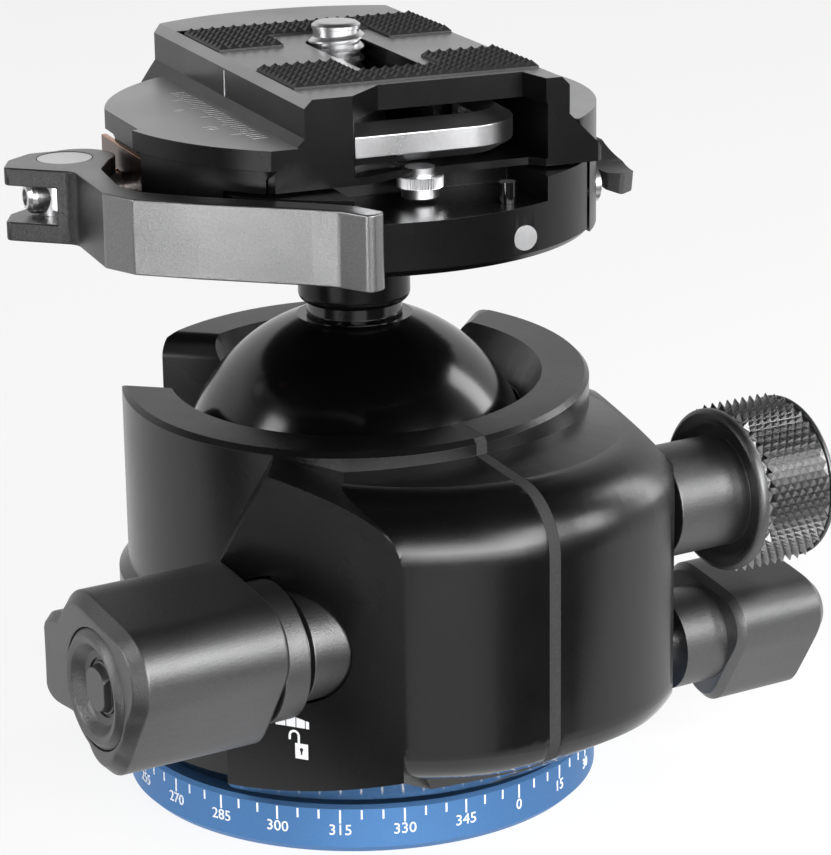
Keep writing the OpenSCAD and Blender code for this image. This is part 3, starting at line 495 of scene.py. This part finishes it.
edge = lobed_edge(((3.9, 4.0, 5.2), (-4.8, 2.7, 5.1), (-0.8, -5.1, 4.2)), 13)
lobed_knob("lock_knob", "lock", -23.5, 26.2, (
    (-27.6, [r - 0.5 for r in edge]), (-28.1, edge), (-43.9, edge), (-45.2, [max(r - 1.3, 6.9) for r in edge]),
    (-45.2, [6.45] * sides), (-43.0, [6.45] * sides)))
eased_copy("lock_cap", "lock", 0.15 * mm, grey_dye)
eased_copy("lock_collar", "lock", 0.25 * mm, grey_dye)
eased_copy("lock_sleeve", "lock", 0.2 * mm, grey_dye)
dress(plain_steel, "lock_screw", "drag_screw", "pan_stem")

# Friction knob: a turned hub, dyed dark grey, that carries a pressed-on band
# of diamond knurling, left brighter than the hub.
knurl_dye = finish("knurled_grey_alloy", (0.24, 0.24, 0.241), (0.33, 0.33, 0.332), (0.24, 0.30), 1.0,
                   pits=5200, bump=0.1)
eased_copy("drag_hub", "drag", 0.2 * mm, grey_dye)
dress(knurl_dye, "drag_grip")

# Pan lock: a small lobed knob of the same family, milled and dyed grey. Its
# stem presses a brass pad against the spindle.
brass = finish("plain_brass", (0.56, 0.40, 0.16), (0.68, 0.50, 0.22), (0.28, 0.4), 1.0, pits=2600, bump=0.12)
dress(brass, "pan_pad")
edge = lobed_edge(((3.0, 3.1, 4.3), (-4.0, 2.0, 4.2), (-0.8, -4.5, 3.6)), 0)
lobed_knob("pan_knob", "pan_lock", -19.5, 14.8, (
    (28.4, [5.6] * sides), (34, [5.6] * sides), (34, [r - 0.8 for r in edge]), (34.8, edge), (45.4, edge),
    (47, [r - 1.6 for r in edge])))

# Clamp: a round black floor with one screwed-on jaw and one sliding jaw, on
# two guide rods. Their tops are painted light grey: a painted reflection of the backdrop.
jaw_black = finish("jaw_black_alloy", (0.001, 0.001, 0.0011), (0.004, 0.004, 0.0042), (0.24, 0.32), 0.0,
                   pits=6500, bump=0.22, specular=0.2)
# Light grey metal on the jaw tops only: painted reflection of the bright backdrop.
jaw_painted_reflection = finish("jaw_painted_reflection_top", (0.38, 0.38, 0.382), (0.46, 0.46, 0.462), (0.34, 0.42), 0.8, pits=7000, bump=0.2)
eased_copy("clamp_base", "clamp", 0.3 * mm, jaw_black)
for node, owner in (("fixed_jaw", "clamp"), ("moving_jaw", "jaw")):
    jaw = eased_copy(node, owner, 0.35 * mm, jaw_black)
    jaw.data.materials.append(jaw_painted_reflection)
    for face in jaw.data.polygons:
        if face.normal.z > 0.8 and face.center.z > 77.5 * mm:
            face.material_index = 1
dress(plain_steel, "jaw_screws")
bright_steel = finish("bright_steel", (0.66, 0.66, 0.67), (0.80, 0.80, 0.81), (0.26, 0.36), 1.0, pits=3200, bump=0.08)
dress(bright_steel, "guide_rods", "wall_pin")
dress(smooth_black, "stop_post")
copper = finish("copper_strip", (0.36, 0.16, 0.08), (0.50, 0.25, 0.14), (0.14, 0.22), 1.0, pits=2600, bump=0.1)
strip = eased_copy("wear_plate", "jaw", 0.25 * mm, copper, steps=3)
# The strip's outer face, toward the lever, is painted dark copper: painted shade.
copper_painted_shade = finish("copper_painted_shade", (0.05, 0.024, 0.014), (0.10, 0.05, 0.03), (0.2, 0.3), 1.0, pits=2600, bump=0.15)
strip.data.materials.append(copper_painted_shade)
for face in strip.data.polygons:
    if face.normal.x < -0.9:
        face.material_index = 1

# Jaw ruler: millimetre ticks and two numbers, laser marked in grey on the top
# of the sliding jaw.
clamp_turn = Matrix.Rotation(math.radians(-9.2), 4, "Z")
grey_mark = finish("grey_laser_mark", (0.36, 0.36, 0.37), (0.46, 0.46, 0.47), (0.5, 0.6), 0.0, bump=0.1)
ruler = []
for step in range(28):
    along = 12.7 - step
    reach = 3.0 if step % 10 == 4 else (2.3 if step % 5 == 4 else 1.7)
    bpy.ops.object.select_all(action="DESELECT")
    bpy.ops.mesh.primitive_cube_add(size=1)
    tick = bpy.context.object
    tick.scale = (reach * mm, 0.16 * mm, 0.05 * mm)
    tick.location = ((-14.9 - reach / 2) * mm, along * mm, 78 * mm)
    bpy.ops.object.transform_apply(location=True, rotation=True, scale=True)
    ruler.append(tick)
for label, along in (("0", 3.4), ("10", -7.0)):
    number = flat_text(label, 2.2 * mm, 0.025 * mm)
    number_place = Matrix.Translation((-19.4 * mm, along * mm, 78 * mm))
    number.data.transform(number_place @ Matrix.Rotation(math.radians(-90), 4, "Z"))
    ruler.append(number)
bpy.ops.object.select_all(action="DESELECT")
for part in ruler:
    part.select_set(True)
bpy.context.view_layer.objects.active = ruler[0]
bpy.ops.object.join()
ruler[0].name = "jaw_ruler"
ruler[0].data.transform(clamp_turn)
keep_mark(ruler[0], grey_mark, "jaw")

# Cam lever: milled, blasted and dyed grey, with a broad front face. It turns
# on a bright pin that the tension rod pulls against the jaws.
lever_dye = finish("grey_lever_alloy", (0.15, 0.15, 0.151), (0.29, 0.29, 0.292), (0.30, 0.37), 1.0,
                   pits=5200, bump=0.5)
lever = eased_copy("lever", "lever", 0.4 * mm, lever_dye, sharp=50)
# The fork's side faces take a darker copy of the lever grey: painted shade for the sides turned away from the light.
fork_painted_shade = finish("grey_fork_painted_shade", (0.025, 0.025, 0.0252), (0.10, 0.10, 0.101), (0.34, 0.42), 1.0,
                  pits=3600, bump=0.6)
lever.data.materials.append(fork_painted_shade)
for face in lever.data.polygons:
    if abs(face.normal.z) < 0.5 and face.normal.x < 0 and face.center.y > -5 * mm:
        face.material_index = 1
dress(bright_steel, "pivot_pin")
dress(plain_steel, "tension_rod")
eased_copy("wing_nut", "wing", 0.3 * mm, grey_dye)

# Camera plate: extruded dovetail bar, milled and dyed black, with a ground
# top painted light grey as a painted reflection of the backdrop, and one white index line on its left side.
# Light grey on the plate's top faces only: painted reflection of the bright backdrop.
painted_reflection_plate = finish("plate_painted_reflection_top", (0.28, 0.28, 0.282), (0.36, 0.36, 0.362), (0.30, 0.4), 0.7,
                   pits=7000, bump=0.15)


def ground_face(place):
    return place.z > 81.6 * mm


plate = eased_copy("plate", "plate", 0.25 * mm, jaw_black, left_flat=ground_face, triangles=True)
plate.data.materials.append(painted_reflection_plate)
for face in plate.data.polygons:
    if face.normal.z > 0.5 and face.center.z > 81.7 * mm:
        face.material_index = 1
bpy.ops.object.select_all(action="DESELECT")
bpy.ops.mesh.primitive_cube_add(size=1)
index_line = bpy.context.object
index_line.name = "index_line"
index_line.scale = (0.06 * mm, 0.22 * mm, 2.9 * mm)
index_line.location = (-12.95 * mm, 4.8 * mm, 80.2 * mm)
bpy.ops.object.transform_apply(location=True, rotation=True, scale=True)
index_line.data.transform(clamp_turn)
keep_mark(index_line, white_mark, "plate")

# Grip pads: two moulded black rubber pads, glued into pockets of the plate,
# with a field of small pyramids on top.
pad_rubber = finish("pad_rubber", (0.008, 0.008, 0.008), (0.020, 0.020, 0.020), (0.42, 0.55), 0.0,
                    pits=6000, bump=0.25, specular=0.45)
pitch = 1.27 * mm
pad_left, pad_right = -11.9 * mm, 16.1 * mm


def grip_pad(node, front, back, notch_front, notch_back, notch_half):
    wide, deep = pad_right - pad_left, back - front
    bpy.ops.object.select_all(action="DESELECT")
    bpy.ops.mesh.primitive_grid_add(x_subdivisions=round(wide / pitch), y_subdivisions=round(deep / pitch), size=1)
    pad = bpy.context.object
    pad.name = node + "_pyramids"
    pad.scale = (wide, deep, 1)
    pad.location = ((pad_left + pad_right) / 2, (front + back) / 2, 82.3 * mm)
    bpy.ops.object.transform_apply(location=True, rotation=True, scale=True)
    bpy.ops.object.mode_set(mode="EDIT")
    bpy.ops.mesh.select_all(action="DESELECT")
    bpy.ops.object.mode_set(mode="OBJECT")
    middle = (pad_left + pad_right) / 2
    for face in pad.data.polygons:
        place = face.center
        face.select = abs(place.x - middle) < notch_half and notch_front < place.y < notch_back
    bpy.ops.object.mode_set(mode="EDIT")
    bpy.ops.mesh.select_mode(type="FACE")
    bpy.ops.mesh.delete(type="FACE")
    bpy.ops.mesh.select_all(action="SELECT")
    bpy.ops.mesh.extrude_region_move(TRANSFORM_OT_translate={"value": (0, 0, 0.75 * mm)})
    bpy.ops.mesh.poke(offset=0.62 * mm)
    bpy.ops.mesh.select_all(action="DESELECT")
    bpy.ops.mesh.select_mode(type="EDGE")
    bpy.ops.mesh.select_non_manifold()
    bpy.ops.mesh.edge_face_add()
    bpy.ops.mesh.select_all(action="SELECT")
    bpy.ops.mesh.normals_make_consistent(inside=False)
    bpy.ops.object.mode_set(mode="OBJECT")
    pad.data.transform(clamp_turn)
    pad.data.materials.append(pad_rubber)
    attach(pad, "plate")
    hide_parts(node)


grip_pad("pad_front", -14.6 * mm, -3.0 * mm, -9.0 * mm, 0, 5.6 * mm)
grip_pad("pad_rear", 9.4 * mm, 21.4 * mm, 0, 16.0 * mm, 6.4 * mm)

# Camera screw: a bright quarter-inch screw with a rolled thread, held in the
# slot of the plate by a clip.
dress(plain_steel, "screw_clip")
screw_at = Vector((2.1 * mm, 9.6 * mm, 0))
root_r, crest_r, lead = 2.62 * mm, 3.175 * mm, 1.27 * mm


def turned_blank(name, steps, sides=64):
    bpy.ops.object.select_all(action="DESELECT")
    low, radius = steps[0]
    bpy.ops.mesh.primitive_circle_add(vertices=sides, radius=radius, fill_type="NGON", location=(0, 0, low))
    blank = bpy.context.object
    blank.name = name
    bpy.ops.object.transform_apply(location=True, rotation=True, scale=True)
    bpy.ops.object.mode_set(mode="EDIT")
    bpy.ops.mesh.select_all(action="SELECT")
    for height, wide in steps[1:]:
        bpy.ops.mesh.extrude_region_move(TRANSFORM_OT_translate={"value": (0, 0, height - low)})
        bpy.ops.transform.resize(value=(wide / radius, wide / radius, 1), center_override=(0, 0, height))
        low, radius = height, wide
    bpy.ops.mesh.select_all(action="SELECT")
    bpy.ops.mesh.normals_make_consistent(inside=False)
    bpy.ops.object.mode_set(mode="OBJECT")
    return blank


screw = turned_blank("camera_screw_threaded", (
    (73.5 * mm, 5.1 * mm), (73.8 * mm, 5.4 * mm), (76.3 * mm, 5.4 * mm), (76.6 * mm, 5.1 * mm),
    (76.61 * mm, root_r), (84.45 * mm, root_r), (84.5 * mm, 2.75 * mm), (84.85 * mm, 2.75 * mm),
    (85.15 * mm, 2.35 * mm), (85.2 * mm, 1.9 * mm)))
bpy.ops.object.select_all(action="DESELECT")
bpy.ops.mesh.primitive_circle_add(vertices=4, radius=1)
ridge = bpy.context.object
ridge_shape = ((root_r - 0.15 * mm, -0.62 * mm), (crest_r, -0.09 * mm), (crest_r, 0.09 * mm),
               (root_r - 0.15 * mm, 0.62 * mm))
for point, (reach, rise) in zip(ridge.data.vertices, ridge_shape):
    point.co = (reach, 0, 78.6 * mm + rise)
helix = ridge.modifiers.new("helix", "SCREW")
helix.axis = "Z"
helix.angle = 2 * math.pi
helix.screw_offset = lead
helix.iterations = 4
helix.steps = 48
helix.render_steps = 48
bpy.ops.object.modifier_apply(modifier="helix")
bpy.ops.object.mode_set(mode="EDIT")
bpy.ops.mesh.select_all(action="SELECT")
bpy.ops.mesh.remove_doubles(threshold=0.000001)
bpy.ops.mesh.fill_holes(sides=4)
bpy.ops.mesh.select_all(action="SELECT")
bpy.ops.mesh.normals_make_consistent(inside=False)
bpy.ops.object.mode_set(mode="OBJECT")
bpy.ops.object.select_all(action="DESELECT")
ridge.select_set(True)
screw.select_set(True)
bpy.context.view_layer.objects.active = screw
bpy.ops.object.join()
bpy.ops.object.shade_smooth_by_angle(angle=math.radians(35))
screw.data.transform(clamp_turn @ Matrix.Translation(screw_at))
screw.data.materials.clear()
screw.data.materials.append(bright_steel)
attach(screw, "camera")
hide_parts("camera_screw")

# Stop screw: a bright knurled screw under the front of the plate that keeps
# it from sliding out of the clamp.
stop = turned_blank("stop_screw_knurled", (
    (70.7 * mm, 1.75 * mm), (70.9 * mm, 2.0 * mm), (71.9 * mm, 2.0 * mm), (71.92 * mm, 2.35 * mm),
    (72.0 * mm, 2.5 * mm), (73.1 * mm, 2.5 * mm), (73.2 * mm, 2.35 * mm), (73.21 * mm, 1.6 * mm),
    (74.1 * mm, 1.6 * mm)), sides=96)
for point in stop.data.vertices:
    if 71.95 * mm < point.co.z < 73.15 * mm:
        side = round(math.atan2(point.co.y, point.co.x) / (2 * math.pi) * 96)
        if side % 2:
            point.co.x *= 0.93
            point.co.y *= 0.93
stop.data.transform(clamp_turn @ Matrix.Translation((0.9 * mm, -17.6 * mm, 0)))
stop.data.materials.append(bright_steel)
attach(stop, "plate")
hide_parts("stop_screw")

# Hex key: a bent bar of bright hexagon steel, stowed in the plate's window
# and drawn out to the front.
eased_copy("hex_key", "key", 0.12 * mm, plain_steel, sharp=40)
